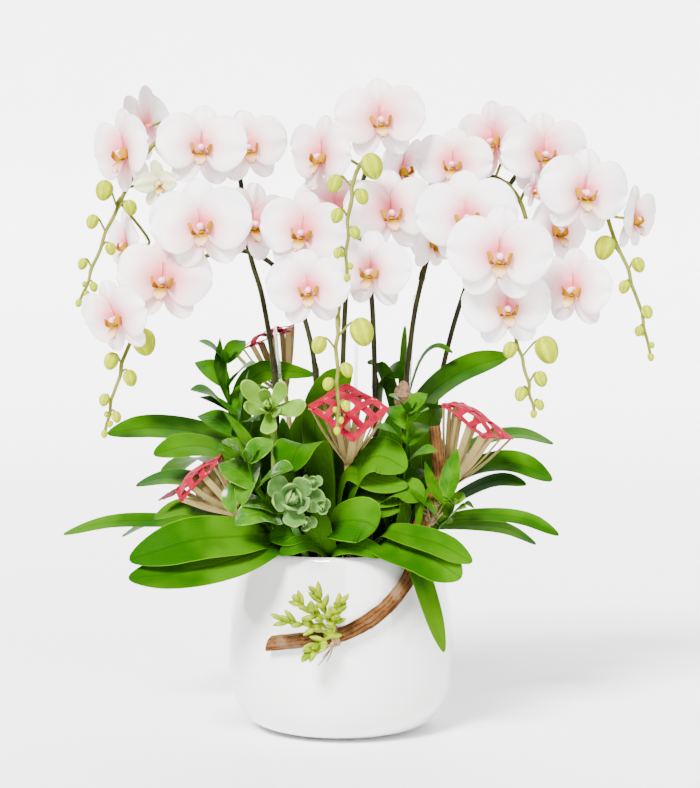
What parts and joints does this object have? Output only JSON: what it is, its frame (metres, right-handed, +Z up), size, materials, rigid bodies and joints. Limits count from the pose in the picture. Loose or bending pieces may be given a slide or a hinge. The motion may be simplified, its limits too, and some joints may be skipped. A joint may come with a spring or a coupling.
{
  "type": "potted moth orchid",
  "caption": "Moth orchids with arching flower spikes, strap leaves and small companion plants in a round white glazed pot.",
  "frame": {"origin": "middle of the pot's flat underside", "axes": "+Z up the pot's axis, -Y towards the front, +X to the front's right"},
  "size_m": [0.5974, 0.37, 0.6456],
  "materials": {
    "petal_white": "matte",
    "spike_green": "satin",
    "leaf_green": "satin",
    "succulent_green": "matte",
    "bamboo": "matte",
    "bark": "rough",
    "bark_mix": "rough",
    "pot_glaze": "gloss",
    "stake_plastic": "gloss"
  },
  "bodies": {
    "root": {"pot": "pot_glaze", "bark_mix": "bark_mix", "bloom_01": "petal_white", "bloom_02": "petal_white", "bloom_03": "petal_white", "bloom_04": "petal_white", "bloom_05": "petal_white", "bloom_06": "petal_white", "bloom_07": "petal_white", "bloom_08": "petal_white", "bloom_09": "petal_white", "bloom_10": "petal_white", "bloom_11": "petal_white", "bloom_12": "petal_white", "bloom_13": "petal_white", "bloom_14": "petal_white", "bloom_15": "petal_white", "bloom_16": "petal_white", "bloom_17": "petal_white", "bloom_18": "petal_white", "bloom_19": "petal_white", "bloom_20": "petal_white", "bloom_21": "petal_white", "bloom_22": "petal_white", "bloom_23": "petal_white", "bloom_24": "petal_white", "bloom_25": "petal_white", "bloom_26": "petal_white", "bloom_27": "petal_white", "bloom_28": "petal_white", "bloom_29": "petal_white", "bloom_30": "petal_white", "flower_spike_1": "spike_green", "flower_spike_2": "spike_green", "flower_spike_3": "spike_green", "flower_spike_4": "spike_green", "flower_spike_5": "spike_green", "flower_spike_6": "spike_green", "orchid_leaves_1": "leaf_green", "orchid_leaves_2": "leaf_green", "orchid_leaves_3": "leaf_green", "orchid_leaves_4": "leaf_green", "orchid_leaves_5": "leaf_green", "orchid_leaves_6": "leaf_green", "orchid_leaves_7": "leaf_green", "ghost_plant": "succulent_green", "echeveria": "succulent_green", "leafy_sprig_left": "leaf_green", "leafy_sprig_right": "leaf_green", "variegated_sprig": "leaf_green", "pilea": "leaf_green", "bamboo_pick_left": "bamboo", "bamboo_pick_back": "bamboo", "bamboo_pick_centre": "bamboo", "bamboo_pick_right": "bamboo", "stake_left": "stake_plastic", "stake_centre": "stake_plastic", "stake_right": "stake_plastic", "vine_branch": "bark", "stonecrop_sprig": "succulent_green"}
  },
  "joints": []
}
